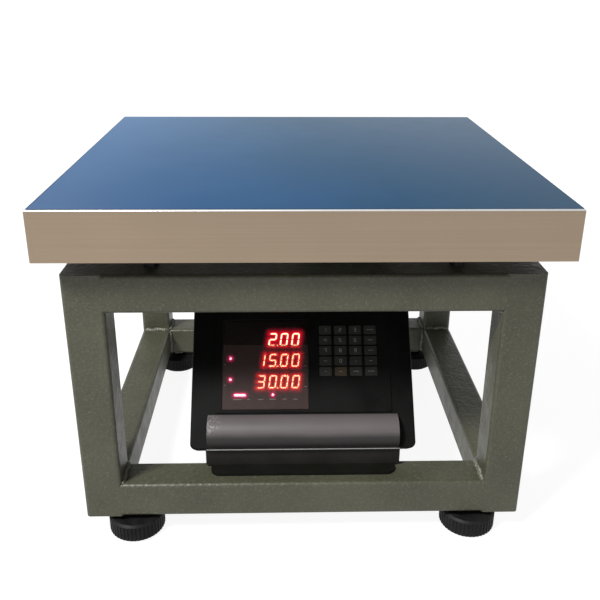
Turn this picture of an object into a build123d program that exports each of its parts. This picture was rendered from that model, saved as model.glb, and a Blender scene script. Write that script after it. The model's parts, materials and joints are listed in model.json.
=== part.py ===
"""Platform scale for weighing animals: a steel pan on a single load cell, carried by a welded
tube frame on four levelling feet, with a desk-type indicator on a shelf in the frame's front opening.

Units are millimetres. +Z is up, -Y is the front that the operator faces, and the origin is on the
floor under the middle of the frame.
"""

import os
from math import cos, radians, sin, tan

from build123d import *

os.makedirs("parts", exist_ok=True)

# --- Driving dimensions -------------------------------------------------------------------------

# Welded base frame of square tube
FRAME_W, FRAME_D = 466.0, 404.0
FRAME_BOTTOM, FRAME_TOP = 28.0, 308.0
TUBE, WALL, TUBE_CORNER = 40.0, 2.0, 4.0

# Weighing pan
PAN_W, PAN_D, PAN_SKIRT = 500.0, 450.0, 50.0
PAN_TOP, SHEET, PAN_BEND = 379.8, 1.2, 1.6
FILM, FILM_MARGIN = 0.2, 1.8

# Load cell, its plates and its bolts
CELL_L, CELL_W, CELL_H, CELL_Z = 150.0, 30.0, 40.0, 300.0
CELL_BOLT_X = (44.0, 64.0)
CELL_BOLT_DEPTH = 20.0
BOLT_R, BOLT_HEAD_AF, BOLT_HEAD_H = 4.0, 13.0, 5.3
THREAD_GAP = 0.05
PAD_H, BASE_PLATE_T, TOP_PLATE_T = 4.0, 8.0, 6.0

# Load frame between the load cell and the pan
BAR = 25.0
LOAD_FRAME_W, LOAD_FRAME_D = 400.0, 365.0
STOP_X, STOP_Y, STOP_GAP = 150.0, 174.0, 1.0

# Levelling feet, on M12 studs
FOOT_X = 183.5
STUD_R, KNOB_R, HUB_R, SOLE_R = 6.0, 30.0, 11.0, 27.0
SOLE_T, KNOB_TOP, STUD_TOP = 2.0, 22.0, 60.0
RIBS = 44

# Indicator: a tilted front panel on a wedge-shaped base
PANEL_TILT = 52.0
PANEL_FOOT_Y, PANEL_FOOT_Z = -175.0, 92.5
PANEL_W, PANEL_L, SHELL_DEPTH, SHELL_WALL = 246.0, 180.0, 24.0, 2.5
CASE_W, CASE_FRONT_Y, CASE_REAR_Y = 212.0, -172.0, -38.0
PLATEAU_W, PLATEAU_LOW, PLATEAU_HIGH, PLATEAU_H = 196.0, 39.0, 168.0, 1.5
WINDOW_X, WINDOW_S, WINDOW_W, WINDOW_L, WINDOW_T = -41.2, 92.2, 96.4, 101.4, 2.0
ROLL_LOW, ROLL_HIGH, ROLL_RISE, ROLL_W = 0.6, 37.0, 13.0, 208.0
BOSS_R, SCREW_SEAT = 5.0, 8.0

# Keypad
KEY_W, KEY_L, KEY_GAP = 14.0, 10.2, 0.3
KEY_PITCH_X, KEY_PITCH_S = 17.0, 11.75
KEYPAD_X, KEYPAD_S = 51.5, 107.1
KEY_PROUD, KEY_TRAVEL = 0.8, 1.0
KEY_ROWS = (
    ("1", "2", "3", "memory"),
    ("4", "5", "6", "recall"),
    ("7", "8", "9", "total"),
    ("clear", "0", "point", "back"),
    ("zero", "tare", "hold", "enter"),
)

# Main board
BOARD_FRONT, BOARD_T = -12.0, 1.6

# Sockets and rocker in the indicator's rear wall, placed across and up from the middle of its foot
INLET_AT, SOCKET_AT, ROCKER_AT = (78.0, 40.0), (-74.0, 34.0), (-74.0, 78.0)
INLET_W, INLET_H = 27.6, 20.2
SOCKET_R = 9.0
ROCKER_W, ROCKER_H, ROCKER_THROW, ROCKER_PIVOT_DEPTH = 15.0, 21.0, 8.0, 3.0

# Shelf under the indicator
SHELF_T, SHELF_W, SHELF_FRONT_Y, SHELF_REAR_Y = 3.0, 200.0, -188.0, -45.0

# --- Places worked out from them ----------------------------------------------------------------

LEG_X, LEG_Y = (FRAME_W - TUBE) / 2, (FRAME_D - TUBE) / 2
RAIL_SPAN_X, RAIL_SPAN_Y = FRAME_W - 2 * TUBE, FRAME_D - 2 * TUBE
UPPER_RAIL_Z, LOWER_RAIL_Z = FRAME_TOP - TUBE / 2, FRAME_BOTTOM + TUBE / 2
LOWER_RAIL_TOP = FRAME_BOTTOM + TUBE
FOOT_CENTRES = [(x, y) for x in (-FOOT_X, FOOT_X) for y in (-LEG_Y, LEG_Y)]
STOP_CENTRES = [(x, y) for x in (-STOP_X, STOP_X) for y in (-STOP_Y, STOP_Y)]
CELL_TOP = CELL_Z + CELL_H
BASE_PLATE_Z = CELL_Z - PAD_H - BASE_PLATE_T
TOP_PLATE_Z = CELL_TOP + PAD_H
LOAD_FRAME_Z = TOP_PLATE_Z + TOP_PLATE_T
LOAD_FRAME_TOP = LOAD_FRAME_Z + BAR
PAN_UNDERSIDE = PAN_TOP - SHEET
SHELF_TOP = LOWER_RAIL_TOP + SHELF_T

# The panel's own plane: X across, Y up the slope, Z out towards the operator.
PANEL = Plane(
    origin=(0, PANEL_FOOT_Y, PANEL_FOOT_Z),
    x_dir=(1, 0, 0),
    z_dir=(0, -sin(radians(PANEL_TILT)), cos(radians(PANEL_TILT))),
)
PANEL_NORMAL = Axis(PANEL.origin, PANEL.z_dir)
RIM = PANEL.offset(-SHELL_DEPTH)
CASE_SCREWS = [(x, s) for x in (-92.0, 92.0) for s in (14.0, 168.0)]
REAR_WALL = Plane(origin=(0, CASE_REAR_Y, SHELF_TOP), x_dir=(-1, 0, 0), z_dir=(0, 1, 0))


def save(builder, name):
    """Labels a finished piece and writes its STEP file."""
    builder.part.label = name
    export_step(builder.part, f"parts/{name}.step")


def save_group(solids, name):
    """Writes a node of several solids that touch but stay apart, such as welded tubes."""
    export_step(Compound(label=name, children=list(solids)), f"parts/{name}.step")


def tube_section(width=TUBE, height=TUBE):
    """A square or rectangular tube's section, drawn in the current sketch."""
    RectangleRounded(width, height, TUBE_CORNER)
    RectangleRounded(width - 2 * WALL, height - 2 * WALL, TUBE_CORNER - WALL, mode=Mode.SUBTRACT)


def hexagon(across_flats):
    """A bolt head's or nut's outline, drawn in the current sketch."""
    RegularPolygon(across_flats / 2, 6, major_radius=False)


# --- Base frame ---------------------------------------------------------------------------------


def legs():
    """Four full-height legs, closed at both ends by welded plates."""
    centres = [(x, y) for x in (-LEG_X, LEG_X) for y in (-LEG_Y, LEG_Y)]
    with BuildPart() as built:
        with BuildSketch(Plane.XY.offset(FRAME_BOTTOM)):
            with Locations(*centres):
                RectangleRounded(TUBE, TUBE, TUBE_CORNER)
        extrude(amount=FRAME_TOP - FRAME_BOTTOM)
        with BuildSketch(Plane.XY.offset(FRAME_BOTTOM + WALL)):
            with Locations(*centres):
                RectangleRounded(TUBE - 2 * WALL, TUBE - 2 * WALL, TUBE_CORNER - WALL)
        extrude(amount=FRAME_TOP - FRAME_BOTTOM - 2 * WALL, mode=Mode.SUBTRACT)
    save(built, "legs")


def cross_rail(name, y, z, stop_holes=False, foot_holes=False):
    """A tube running across the frame between two legs."""
    with BuildPart() as built:
        with BuildSketch(Plane.YZ.offset(-RAIL_SPAN_X / 2)):
            with Locations((y, z)):
                tube_section()
        extrude(amount=RAIL_SPAN_X)
        if stop_holes:
            with BuildSketch(Plane.XY.offset(FRAME_TOP)):
                with Locations(*[(x, sy) for x, sy in STOP_CENTRES if sy * y > 0]):
                    Circle(BOLT_R + THREAD_GAP)
            extrude(amount=-2 * WALL, mode=Mode.SUBTRACT)
        if foot_holes:
            with BuildSketch(Plane.XY.offset(FRAME_BOTTOM)):
                with Locations((-FOOT_X, y), (FOOT_X, y)):
                    Circle(STUD_R + 0.5)
            extrude(amount=2 * WALL, mode=Mode.SUBTRACT)
    save(built, name)


def side_rails():
    """The four tubes that run front to back between the legs, two high and two low."""
    with BuildPart() as built:
        with BuildSketch(Plane.XZ.offset(-RAIL_SPAN_Y / 2)):
            with Locations(*[(x, z) for x in (-LEG_X, LEG_X) for z in (LOWER_RAIL_Z, UPPER_RAIL_Z)]):
                tube_section()
        extrude(amount=RAIL_SPAN_Y)
    save(built, "side_rails")


def cross_members():
    """Two flat tubes that carry the load cell's base plate between the upper rails."""
    width, height, x = 40.0, 20.0, 100.0
    with BuildPart() as built:
        with BuildSketch(Plane.XZ.offset(-RAIL_SPAN_Y / 2)):
            with Locations((-x, BASE_PLATE_Z - height / 2), (x, BASE_PLATE_Z - height / 2)):
                tube_section(width, height)
        extrude(amount=RAIL_SPAN_Y)
    save(built, "cross_members")


# --- Load cell and what it is bolted to ---------------------------------------------------------


def load_cell_base_plate():
    """Plate welded across the cross members, with a raised pad under the cell's fixed end."""
    length, width = 236.0, 80.0
    pad_length = 42.0
    with BuildPart() as built:
        with BuildSketch(Plane.XY.offset(BASE_PLATE_Z)):
            RectangleRounded(length, width, 4)
        extrude(amount=BASE_PLATE_T)
        with BuildSketch(Plane.XY.offset(BASE_PLATE_Z + BASE_PLATE_T)):
            with Locations(((pad_length - CELL_L) / 2, 0)):
                Rectangle(pad_length, CELL_W)
        extrude(amount=PAD_H)
        with BuildSketch(Plane.XY.offset(BASE_PLATE_Z)):
            with Locations(*[(-x, 0) for x in CELL_BOLT_X]):
                Circle(BOLT_R + 0.5)
        extrude(amount=BASE_PLATE_T + PAD_H, mode=Mode.SUBTRACT)
    save(built, "load_cell_base_plate")


def load_cell():
    """Single-point aluminium beam with a binocular cut-out and tapped ends."""
    bore_r, bore_x, slot_h = 11.0, 14.0, 8.0
    with BuildPart() as built:
        with Locations((0, 0, CELL_Z + CELL_H / 2)):
            Box(CELL_L, CELL_W, CELL_H)
        chamfer(built.edges().filter_by(Axis.X), 0.8)
        with BuildSketch(Plane.XZ.offset(-CELL_W / 2)):
            with Locations((-bore_x, CELL_Z + CELL_H / 2), (bore_x, CELL_Z + CELL_H / 2)):
                Circle(bore_r)
            with Locations((0, CELL_Z + CELL_H / 2)):
                Rectangle(2 * bore_x, slot_h)
        extrude(amount=CELL_W, mode=Mode.SUBTRACT)
        with BuildSketch(Plane.XY.offset(CELL_Z)):
            with Locations(*[(-x, 0) for x in CELL_BOLT_X]):
                Circle(BOLT_R + THREAD_GAP)
        extrude(amount=CELL_BOLT_DEPTH, mode=Mode.SUBTRACT)
        with BuildSketch(Plane.XY.offset(CELL_TOP)):
            with Locations(*[(x, 0) for x in CELL_BOLT_X]):
                Circle(BOLT_R + THREAD_GAP)
        extrude(amount=-CELL_BOLT_DEPTH, mode=Mode.SUBTRACT)
    save(built, "load_cell")


def cell_bolts(name, side, seat_z, grip, direction):
    """Two hex bolts at one end of the load cell. direction is +1 for bolts pushed up, -1 for down."""
    centres = [(side * x, 0) for x in CELL_BOLT_X]
    reach = grip + CELL_BOLT_DEPTH - 3.0
    with BuildPart() as built:
        with BuildSketch(Plane.XY.offset(seat_z)):
            with Locations(*centres):
                hexagon(BOLT_HEAD_AF)
        extrude(amount=-direction * BOLT_HEAD_H)
        with BuildSketch(Plane.XY.offset(seat_z)):
            with Locations(*centres):
                Circle(BOLT_R)
        extrude(amount=direction * reach)
    save(built, name)


def overload_stops():
    """Four stop screws with their lock nuts, set in the upper rails just under the load frame."""
    nut_height, depth_in_rail = 6.5, 12.0
    with BuildPart() as built:
        with BuildSketch(Plane.XY.offset(FRAME_TOP - depth_in_rail)):
            with Locations(*STOP_CENTRES):
                Circle(BOLT_R)
        extrude(amount=LOAD_FRAME_Z - STOP_GAP - FRAME_TOP + depth_in_rail)
        with BuildSketch(Plane.XY.offset(FRAME_TOP)):
            with Locations(*STOP_CENTRES):
                hexagon(BOLT_HEAD_AF)
        extrude(amount=nut_height)
    save(built, "overload_stops")


# --- Load frame and pan -------------------------------------------------------------------------


def load_frame_tubes():
    """Front and rear tubes with closed ends, two end bars, and two bars over the live end."""
    long_y = (LOAD_FRAME_D - BAR) / 2
    end_x = (LOAD_FRAME_W - BAR) / 2
    live_end_x = (17.5, 90.5)
    centre_z = LOAD_FRAME_Z + BAR / 2
    span = LOAD_FRAME_D - 2 * BAR
    with BuildPart() as built:
        with BuildSketch(Plane.YZ.offset(-LOAD_FRAME_W / 2)):
            with Locations((-long_y, centre_z), (long_y, centre_z)):
                RectangleRounded(BAR, BAR, TUBE_CORNER)
        extrude(amount=LOAD_FRAME_W)
        with BuildSketch(Plane.YZ.offset(WALL - LOAD_FRAME_W / 2)):
            with Locations((-long_y, centre_z), (long_y, centre_z)):
                RectangleRounded(BAR - 2 * WALL, BAR - 2 * WALL, TUBE_CORNER - WALL)
        extrude(amount=LOAD_FRAME_W - 2 * WALL, mode=Mode.SUBTRACT)
    with BuildPart() as bars:
        with BuildSketch(Plane.XZ.offset(-span / 2)):
            with Locations(*[(x, centre_z) for x in (-end_x, *live_end_x, end_x)]):
                tube_section(BAR, BAR)
        extrude(amount=span)
    tubes = built.part.solids() + bars.part.solids()
    save_group(tubes, "load_frame_tubes")


def load_frame_plate():
    """Plate under the two middle bars, with a pad that sits on the cell's live end."""
    pad_length = 42.0
    low_x, high_x, width = 5.0, 103.0, 90.0
    with BuildPart() as built:
        with BuildSketch(Plane.XY.offset(TOP_PLATE_Z)):
            with Locations(((low_x + high_x) / 2, 0)):
                RectangleRounded(high_x - low_x, width, 4)
        extrude(amount=TOP_PLATE_T)
        with BuildSketch(Plane.XY.offset(CELL_TOP)):
            with Locations(((CELL_L - pad_length) / 2, 0)):
                Rectangle(pad_length, CELL_W)
        extrude(amount=PAD_H)
        with BuildSketch(Plane.XY.offset(CELL_TOP)):
            with Locations(*[(x, 0) for x in CELL_BOLT_X]):
                Circle(BOLT_R + 0.5)
        extrude(amount=PAD_H + TOP_PLATE_T, mode=Mode.SUBTRACT)
    save(built, "load_frame_plate")


def corner_pads():
    """Four rubber discs that the pan rests on."""
    radius = 11.0
    with BuildPart() as built:
        with BuildSketch(Plane.XY.offset(LOAD_FRAME_TOP)):
            with GridLocations(LOAD_FRAME_W - BAR, LOAD_FRAME_D - BAR, 2, 2):
                Circle(radius)
        extrude(amount=PAN_UNDERSIDE - LOAD_FRAME_TOP)
    save(built, "corner_pads")


def pan_cover():
    """Folded sheet-steel pan, open underneath."""
    with BuildPart() as built:
        with BuildSketch(Plane.XY.offset(PAN_TOP)):
            RectangleRounded(PAN_W, PAN_D, PAN_BEND)
        extrude(amount=-PAN_SKIRT)
        fillet(built.faces().sort_by(Axis.Z)[-1].edges(), PAN_BEND - 0.1)
        with BuildSketch(Plane.XY.offset(PAN_UNDERSIDE)):
            RectangleRounded(PAN_W - 2 * SHEET, PAN_D - 2 * SHEET, PAN_BEND - SHEET)
        extrude(amount=-PAN_SKIRT, mode=Mode.SUBTRACT)
    save(built, "pan_cover")


def protective_film():
    """Thin plastic film that covers the flat of the pan, short of its rounded edge."""
    with BuildPart() as built:
        with BuildSketch(Plane.XY.offset(PAN_TOP)):
            RectangleRounded(PAN_W - 2 * FILM_MARGIN, PAN_D - 2 * FILM_MARGIN, 1)
        extrude(amount=FILM)
    save(built, "protective_film")


# --- Levelling feet -----------------------------------------------------------------------------


def foot_nuts():
    """Lock nuts under the lower rails, and round weld nuts inside them."""
    lock_af, lock_height, weld_height, weld_r = 19.0, 5.5, 10.0, 9.0
    with BuildPart() as built:
        with BuildSketch(Plane.XY.offset(FRAME_BOTTOM)):
            with Locations(*FOOT_CENTRES):
                hexagon(lock_af)
                Circle(STUD_R + THREAD_GAP, mode=Mode.SUBTRACT)
        extrude(amount=-lock_height)
        with BuildSketch(Plane.XY.offset(FRAME_BOTTOM + WALL)):
            with Locations(*FOOT_CENTRES):
                Circle(weld_r)
                Circle(STUD_R + THREAD_GAP, mode=Mode.SUBTRACT)
        extrude(amount=weld_height)
    save(built, "foot_nuts")


def foot_sole(name, x, y):
    """Rubber sole that stays still on the floor, with the spigot that the knob turns on."""
    spigot_r, spigot_top = 8.0, 8.0
    with BuildPart() as built:
        with BuildSketch():
            with Locations((x, y)):
                Circle(SOLE_R)
        extrude(amount=SOLE_T)
        chamfer(built.faces().sort_by(Axis.Z)[0].edges(), 0.5)
        with BuildSketch(Plane.XY.offset(SOLE_T)):
            with Locations((x, y)):
                Circle(spigot_r)
        extrude(amount=spigot_top - SOLE_T)
    save(built, name)


def foot_knob(name, x, y):
    """Ribbed knob on its threaded stud. Both turn together; the stud is a solid of its own."""
    base_z, rib_top = SOLE_T + 0.2, KNOB_TOP - 3.0
    socket_r, socket_top, stud_seat = 8.08, 8.4, 11.0
    groove_r = 1.3
    dish_r, dish = 22.0, 1.0
    with BuildPart() as built:
        with BuildSketch(Plane.XY.offset(base_z)):
            with Locations((x, y)):
                Circle(KNOB_R)
        extrude(amount=KNOB_TOP - base_z)
        chamfer(built.faces().sort_by(Axis.Z)[-1].edges(), 2.2)
        chamfer(built.faces().sort_by(Axis.Z)[0].edges(), 0.6)
        with BuildSketch(Plane.XY.offset(base_z)):
            with Locations((x, y)):
                with PolarLocations(KNOB_R + 0.3, RIBS):
                    Circle(groove_r)
        extrude(amount=rib_top - base_z, mode=Mode.SUBTRACT)
        with BuildSketch(Plane.XY.offset(KNOB_TOP)):
            with Locations((x, y)):
                Circle(dish_r)
                Circle(HUB_R, mode=Mode.SUBTRACT)
        extrude(amount=-dish, mode=Mode.SUBTRACT)
        with BuildSketch(Plane.XY.offset(base_z)):
            with Locations((x, y)):
                Circle(socket_r)
        extrude(amount=socket_top - base_z, mode=Mode.SUBTRACT)
        with BuildSketch(Plane.XY.offset(KNOB_TOP)):
            with Locations((x, y)):
                Circle(STUD_R)
        extrude(amount=stud_seat - KNOB_TOP, mode=Mode.SUBTRACT)
    with BuildPart() as stud:
        with BuildSketch(Plane.XY.offset(stud_seat)):
            with Locations((x, y)):
                Circle(STUD_R)
        extrude(amount=STUD_TOP - stud_seat)
        chamfer(stud.faces().sort_by(Axis.Z)[-1].edges(), 1)
    save_group([built.part, stud.part], name)


# --- Indicator housing --------------------------------------------------------------------------


def front_shell():
    """Front moulding: sloping panel with a raised middle, two side wings, hollow from behind."""
    middle_s = PANEL_L / 2
    wing_inner = CASE_W / 2
    wing_pocket = PANEL_W / 2 - SHELL_WALL - wing_inner
    corner_r, edge_r, plateau_r = 7.0, 2.0, 3.0
    window_ledge, pilot_r = 3.0, 1.6
    with BuildPart() as built:
        with BuildSketch(RIM):
            with Locations((0, middle_s)):
                RectangleRounded(PANEL_W, PANEL_L, corner_r)
        extrude(amount=SHELL_DEPTH)
        fillet(built.faces().sort_by(PANEL_NORMAL)[-1].edges(), edge_r)
        with BuildSketch(PANEL):
            with Locations((0, (PLATEAU_LOW + PLATEAU_HIGH) / 2)):
                RectangleRounded(PLATEAU_W, PLATEAU_HIGH - PLATEAU_LOW, plateau_r)
        extrude(amount=PLATEAU_H)
        with BuildSketch(RIM):
            with Locations((0, middle_s)):
                Rectangle(CASE_W - 2 * SHELL_WALL, PANEL_L - 2 * SHELL_WALL)
            with Locations(*[(side * (wing_inner + wing_pocket / 2), middle_s) for side in (-1, 1)]):
                Rectangle(wing_pocket, PANEL_L - 2 * SHELL_WALL)
        extrude(amount=SHELL_DEPTH - SHELL_WALL, mode=Mode.SUBTRACT)
        with BuildSketch(PANEL.offset(PLATEAU_H)):
            with Locations((WINDOW_X, WINDOW_S)):
                Rectangle(WINDOW_W, WINDOW_L)
        extrude(amount=-WINDOW_T, mode=Mode.SUBTRACT)
        with BuildSketch(PANEL.offset(PLATEAU_H)):
            with Locations((WINDOW_X, WINDOW_S)):
                Rectangle(WINDOW_W - 2 * window_ledge, WINDOW_L - 2 * window_ledge)
            with Locations((KEYPAD_X, KEYPAD_S)):
                with GridLocations(KEY_PITCH_X, KEY_PITCH_S, 4, 5):
                    Rectangle(KEY_W + 2 * KEY_GAP, KEY_L + 2 * KEY_GAP)
        extrude(amount=-PLATEAU_H - SHELL_WALL, mode=Mode.SUBTRACT)
        with BuildSketch(RIM):
            with Locations(*CASE_SCREWS):
                Circle(BOSS_R)
        extrude(amount=SHELL_DEPTH - SHELL_WALL)
        with BuildSketch(RIM):
            with Locations(*CASE_SCREWS):
                Circle(pilot_r)
        extrude(amount=SHELL_DEPTH - 2 * SHELL_WALL, mode=Mode.SUBTRACT)
    save(built, "indicator_front_shell")


def base_outline():
    """The base moulding's side view, drawn in the current sketch on the YZ plane."""
    rear_drop = 9.0
    slope = tan(radians(90 - PANEL_TILT))
    rim_low = RIM.origin
    rim_high = RIM.from_local_coords((0, PANEL_L, 0))
    chin_z = PANEL_FOOT_Z - (CASE_FRONT_Y - PANEL_FOOT_Y) * slope
    Polygon(
        (CASE_FRONT_Y, SHELF_TOP),
        (CASE_REAR_Y, SHELF_TOP),
        (CASE_REAR_Y, rim_high.Z - rear_drop),
        (rim_high.Y, rim_high.Z),
        (rim_low.Y, rim_low.Z),
        (CASE_FRONT_Y, chin_z),
        align=None,
    )


def base_shell():
    """Rear moulding: a hollow wedge that stands on the shelf, with screw bosses and socket cut-outs."""
    rear_corner_r, screw_r, well_r, well_reach = 5.0, 1.9, 3.6, 60.0
    with BuildPart() as bosses:
        with BuildSketch(RIM):
            with Locations(*CASE_SCREWS):
                Circle(BOSS_R)
        extrude(amount=-well_reach)
    with BuildPart() as built:
        with BuildSketch(Plane.YZ.offset(-CASE_W / 2)):
            base_outline()
        extrude(amount=CASE_W)
        fillet(built.edges().filter_by(Axis.Z).group_by(Axis.Y)[-1], rear_corner_r)
        outer = Solid(built.part.solid().wrapped)
        with BuildSketch(Plane.YZ.offset(-CASE_W / 2 + SHELL_WALL)):
            base_outline()
            offset(amount=-SHELL_WALL, kind=Kind.INTERSECTION, mode=Mode.REPLACE)
        extrude(amount=CASE_W - 2 * SHELL_WALL, mode=Mode.SUBTRACT)
        with BuildSketch(RIM):
            with Locations((0, PANEL_L / 2)):
                Rectangle(CASE_W - 2 * SHELL_WALL, PANEL_L - 2 * SHELL_WALL)
        extrude(amount=-2 * SHELL_WALL, mode=Mode.SUBTRACT)
        add(bosses.part & outer)
        with BuildSketch(RIM):
            with Locations(*CASE_SCREWS):
                Circle(screw_r)
        extrude(amount=-SCREW_SEAT, mode=Mode.SUBTRACT)
        with BuildSketch(RIM.offset(-SCREW_SEAT)):
            with Locations(*CASE_SCREWS):
                Circle(well_r)
        extrude(amount=-well_reach, mode=Mode.SUBTRACT)
        with BuildSketch(REAR_WALL):
            with Locations(INLET_AT):
                Rectangle(INLET_W, INLET_H)
            with Locations(SOCKET_AT):
                Circle(SOCKET_R)
            with Locations(ROCKER_AT):
                Rectangle(ROCKER_W, ROCKER_H)
        extrude(amount=-SHELL_WALL, mode=Mode.SUBTRACT)
    save(built, "indicator_base_shell")


def front_roll():
    """Hollow half-round strip along the panel's lower edge, closed at both ends."""
    wall = 2.0
    chord = ROLL_HIGH - ROLL_LOW
    side = Plane(PANEL.from_local_coords((-ROLL_W / 2, 0, 0)), x_dir=PANEL.y_dir, z_dir=(1, 0, 0))
    inside = side.offset(wall)
    with BuildPart() as built:
        with BuildSketch(side):
            with BuildLine():
                ThreePointArc((ROLL_LOW, 0), (ROLL_LOW + chord / 2, ROLL_RISE), (ROLL_HIGH, 0))
                Line((ROLL_HIGH, 0), (ROLL_LOW, 0))
            make_face()
        extrude(amount=ROLL_W)
        with BuildSketch(inside):
            with BuildLine():
                ThreePointArc(
                    (ROLL_LOW + wall, 0), (ROLL_LOW + chord / 2, ROLL_RISE - wall), (ROLL_HIGH - wall, 0)
                )
                Line((ROLL_HIGH - wall, 0), (ROLL_LOW + wall, 0))
            make_face()
        extrude(amount=ROLL_W - 2 * wall, mode=Mode.SUBTRACT)
    save(built, "front_roll")


def display_window():
    """Smoked plate let into the raised panel, flush with it."""
    side_gap = 0.1
    with BuildPart() as built:
        with BuildSketch(PANEL.offset(PLATEAU_H)):
            with Locations((WINDOW_X, WINDOW_S)):
                Rectangle(WINDOW_W - 2 * side_gap, WINDOW_L - 2 * side_gap)
        extrude(amount=-WINDOW_T)
    save(built, "display_window")


def front_board():
    """Circuit board behind the panel, with a switch under each key."""
    width, low_s, high_s = 190.0, 46.0, 152.0
    switch, switch_h = 6.0, 5.0
    with BuildPart() as built:
        with BuildSketch(PANEL.offset(BOARD_FRONT)):
            with Locations((0, (low_s + high_s) / 2)):
                RectangleRounded(width, high_s - low_s, 2)
        extrude(amount=-BOARD_T)
        with BuildSketch(PANEL.offset(BOARD_FRONT)):
            with Locations((KEYPAD_X, KEYPAD_S)):
                with GridLocations(KEY_PITCH_X, KEY_PITCH_S, 4, 5):
                    Rectangle(switch, switch)
        extrude(amount=switch_h)
    save(built, "front_board")


def digit_modules():
    """Nine two-digit display modules standing on the front board in three rows."""
    module_w, module_l, module_h = 25.2, 21.0, 8.0
    pitch_x, pitch_s = 25.8, 23.6
    centre_x, centre_s = -39.8, 96.4
    with BuildPart() as built:
        with BuildSketch(PANEL.offset(BOARD_FRONT)):
            with Locations((centre_x, centre_s)):
                with GridLocations(pitch_x, pitch_s, 3, 3):
                    Rectangle(module_w, module_l)
        extrude(amount=module_h)
    save(built, "digit_modules")


def key(name, x, s):
    """Key cap with side lugs behind the panel and a stem that reaches down to its switch."""
    lug_w, lug_top, lug_t = 16.2, -2.8, 1.2
    stem_r, stem_foot = 1.7, -5.7
    with BuildPart() as built:
        with BuildSketch(PANEL.offset(lug_top)):
            with Locations((x, s)):
                RectangleRounded(KEY_W, KEY_L, 1.2)
        extrude(amount=PLATEAU_H + KEY_PROUD - lug_top)
        fillet(built.faces().sort_by(PANEL_NORMAL)[-1].edges(), 0.5)
        with BuildSketch(PANEL.offset(lug_top)):
            with Locations((x, s)):
                Rectangle(lug_w, KEY_L)
        extrude(amount=-lug_t)
        with BuildSketch(PANEL.offset(lug_top - lug_t)):
            with Locations((x, s)):
                Circle(stem_r)
        extrude(amount=stem_foot - lug_top + lug_t)
    save(built, name)


def case_screws():
    """Four screws that hold the front moulding to the base moulding."""
    head_h, head_r, shank_r, grip = 2.4, 3.2, 1.55, 14.0
    with BuildPart() as built:
        with BuildSketch(RIM.offset(-SCREW_SEAT)):
            with Locations(*CASE_SCREWS):
                Circle(head_r)
        extrude(amount=-head_h)
        with BuildSketch(RIM.offset(-SCREW_SEAT)):
            with Locations(*CASE_SCREWS):
                Circle(shank_r)
        extrude(amount=SCREW_SEAT + grip)
    save(built, "case_screws")


def main_board():
    """Circuit board on four pillars in the base, with its capacitors, heat sink and terminals."""
    centre_x, centre_y, width, depth = -59.0, -81.0, 78.0, 70.0
    floor_z, pillar_h, pillar_r = SHELF_TOP + SHELL_WALL, 5.0, 3.0
    top_z = floor_z + pillar_h + BOARD_T
    capacitor_r, capacitor_h, low_parts_h = 6.0, 18.0, 8.0
    with BuildPart() as built:
        with BuildSketch(Plane.XY.offset(floor_z)):
            with Locations((centre_x, centre_y)):
                with GridLocations(width - 10, depth - 10, 2, 2):
                    Circle(pillar_r)
        extrude(amount=pillar_h)
        with BuildSketch(Plane.XY.offset(floor_z + pillar_h)):
            with Locations((centre_x, centre_y)):
                Rectangle(width, depth)
        extrude(amount=BOARD_T)
        with BuildSketch(Plane.XY.offset(top_z)):
            with Locations((centre_x + 20, centre_y + 26), (centre_x + 2, centre_y + 26)):
                Circle(capacitor_r)
        extrude(amount=capacitor_h)
        with BuildSketch(Plane.XY.offset(top_z)):
            with Locations((centre_x - 24, centre_y - 4)):
                Rectangle(16, 30)
            with Locations((centre_x + 16, centre_y - 12)):
                Rectangle(14, 14)
        extrude(amount=low_parts_h)
    save(built, "main_board")


def battery():
    """Sealed rechargeable battery lying on the base's floor."""
    centre_x, centre_y, length, width, height = 35.0, -88.0, 102.0, 68.0, 46.0
    with BuildPart() as built:
        with BuildSketch(Plane.XY.offset(SHELF_TOP + SHELL_WALL)):
            with Locations((centre_x, centre_y)):
                RectangleRounded(length, width, 2)
        extrude(amount=height)
    save(built, "battery")


def power_inlet():
    """Mains inlet with three flat pins set back in its cavity."""
    flange_w, flange_h, flange_t = 34.0, 26.0, 2.0
    depth, cavity_w, cavity_h, cavity_depth = 17.0, 24.4, 16.6, 16.0
    pin_w, pin_h, pin_top = 2.0, 4.0, 6.0
    with BuildPart() as built:
        with BuildSketch(REAR_WALL):
            with Locations(INLET_AT):
                RectangleRounded(flange_w, flange_h, 2)
        extrude(amount=flange_t)
        with BuildSketch(REAR_WALL):
            with Locations(INLET_AT):
                Rectangle(INLET_W - 0.2, INLET_H - 0.2)
        extrude(amount=-depth)
        with BuildSketch(REAR_WALL.offset(flange_t)):
            with Locations(INLET_AT):
                RectangleRounded(cavity_w, cavity_h, 3)
        extrude(amount=-cavity_depth, mode=Mode.SUBTRACT)
        with BuildSketch(REAR_WALL.offset(flange_t - cavity_depth)):
            with Locations(INLET_AT):
                with Locations((-7, -1.5), (0, 1.5), (7, -1.5)):
                    Rectangle(pin_w, pin_h)
        extrude(amount=cavity_depth - pin_top)
    save(built, "power_inlet")


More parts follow.
